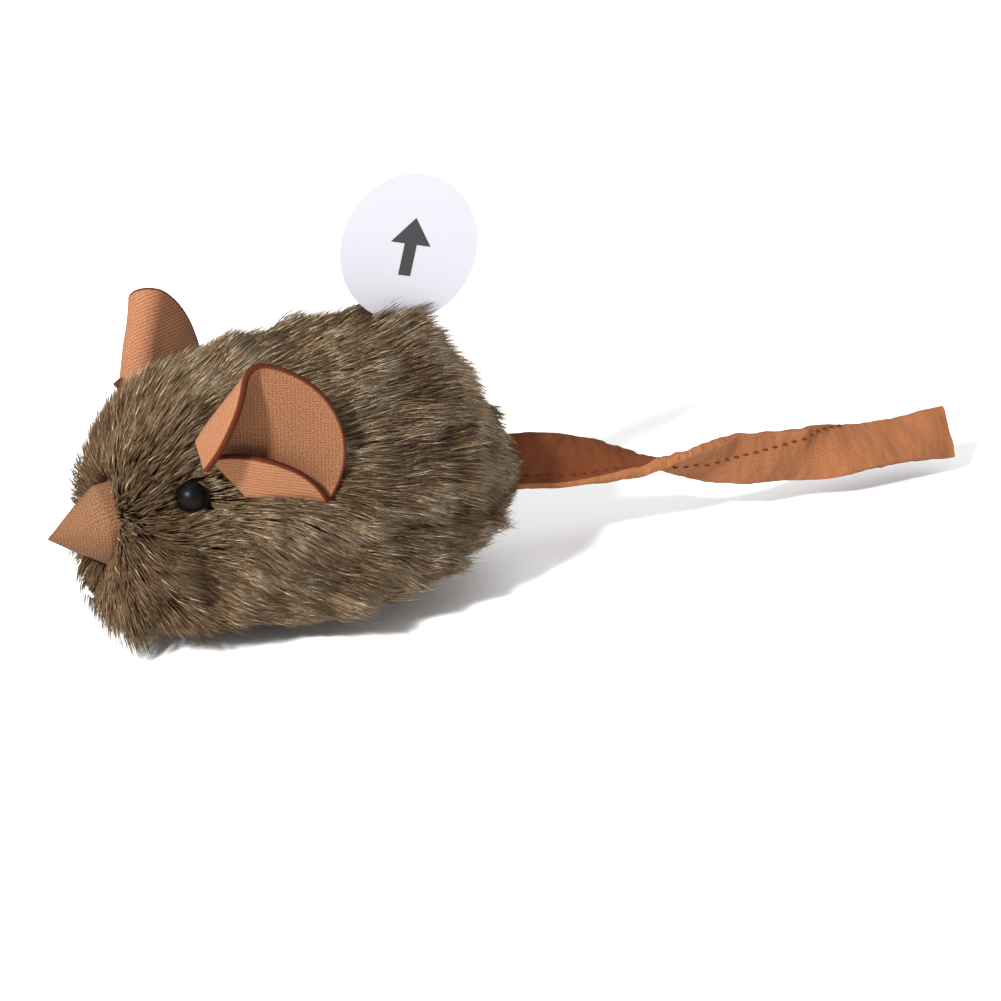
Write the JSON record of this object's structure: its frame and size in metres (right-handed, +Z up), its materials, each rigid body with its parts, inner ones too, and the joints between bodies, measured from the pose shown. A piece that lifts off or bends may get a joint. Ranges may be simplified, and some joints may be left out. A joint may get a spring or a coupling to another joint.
{
  "type": "plush toy mouse",
  "caption": "Small plush cat-toy mouse with suede ears, nose and twisted tail, a round film pull tab on its back and a motion-switched squeaker inside.",
  "frame": {"origin": "centre of the flat resting face under the belly", "axes": "+Z up, -Y towards the nose, +Y towards the tail, +X the mouse's own left side"},
  "size_m": [0.0539, 0.1606, 0.0649],
  "materials": {
    "fur": "grey-brown long-pile faux fur, combed to the rear",
    "suede": "tan woven suede cloth",
    "bead": "black glossy bead",
    "washer": "white plastic",
    "stuffing": "white polyester fibre",
    "case": "off-white moulded plastic",
    "steel": "bright steel",
    "cell": "nickel-plated steel",
    "brass": "plain brass",
    "film": "white translucent film",
    "magnet": "dark nickel",
    "cone": "dark pressed paper",
    "board": "green lacquered laminate",
    "black": "black resin",
    "wire": "insulated wire",
    "thread": "white sewing thread"
  },
  "bodies": {
    "body": {"fur_side_left": "fur", "fur_side_right": "fur", "fur_belly": "fur", "closing_stitch": "thread", "nose": "suede", "eye_left": "bead", "eye_right": "bead", "eye_washer_left": "washer", "eye_washer_right": "washer", "tail_seam": "suede", "stuffing_lower": "stuffing", "stuffing_upper": "stuffing", "box_base": "case", "box_lid": "case", "box_screw_left": "steel", "box_screw_right": "steel", "cell_left": "cell", "cell_middle": "cell", "cell_right": "cell", "contact_plate": "brass", "contact_spring": "brass", "speaker_frame": "steel", "speaker_magnet": "magnet", "circuit_board": "board", "sound_chip": "black", "capacitor": "black", "transistor": "black", "switch_can": "steel", "switch_plug": "black", "switch_pin": "brass", "cell_wire_left": "wire", "cell_wire_right": "wire", "speaker_wire_left": "wire", "speaker_wire_right": "wire"},
    "pull_tab": {"pull_tab": "film"},
    "ear_left": {"ear_left": "suede"},
    "ear_right": {"ear_right": "suede"},
    "tail_base": {"tail_base": "suede"},
    "tail": {"tail": "suede"},
    "switch_spring": {"switch_spring": "brass"},
    "speaker_cone": {"speaker_cone": "cone"}
  },
  "joints": [
    {"name": "tab_pull", "type": "slide", "parent": "body", "child": "pull_tab", "axis": [0, 0.2419, 0.9703], "range_m": [0, 0.032]},
    {"name": "ear_left_fold", "type": "hinge", "parent": "body", "child": "ear_left", "pos_m": [0.01656, -0.01957, 0.03037], "axis": [0.0402, 0.6048, -0.7954], "range_deg": [-8, 20], "stiffness_Nm_per_rad": 0.003},
    {"name": "ear_right_fold", "type": "hinge", "parent": "body", "child": "ear_right", "pos_m": [-0.01656, -0.01957, 0.03037], "axis": [0.2447, -0.5546, 0.7954], "range_deg": [-8, 20], "stiffness_Nm_per_rad": 0.003},
    {"name": "tail_lift", "type": "hinge", "parent": "body", "child": "tail_base", "pos_m": [0, 0.035, 0.01751], "axis": [1, 0, 0], "range_deg": [-30, 60], "stiffness_Nm_per_rad": 0.03},
    {"name": "tail_swing", "type": "hinge", "parent": "tail_base", "child": "tail", "pos_m": [-0.00042, 0.05271, 0.01446], "axis": [0, 0, 1], "range_deg": [-45, 45], "stiffness_Nm_per_rad": 0.02},
    {"name": "switch_wobble", "type": "hinge", "parent": "body", "child": "switch_spring", "pos_m": [0, -0.00128, 0.01896], "axis": [0, 0.2419, 0.9703], "range_deg": [-3.5, 3.5], "stiffness_Nm_per_rad": 0.0001},
    {"name": "cone_travel", "type": "slide", "parent": "body", "child": "speaker_cone", "axis": [0, 0.2419, 0.9703], "range_m": [-0.0002, 0.0002], "stiffness_N_per_m": 300}
  ]
}
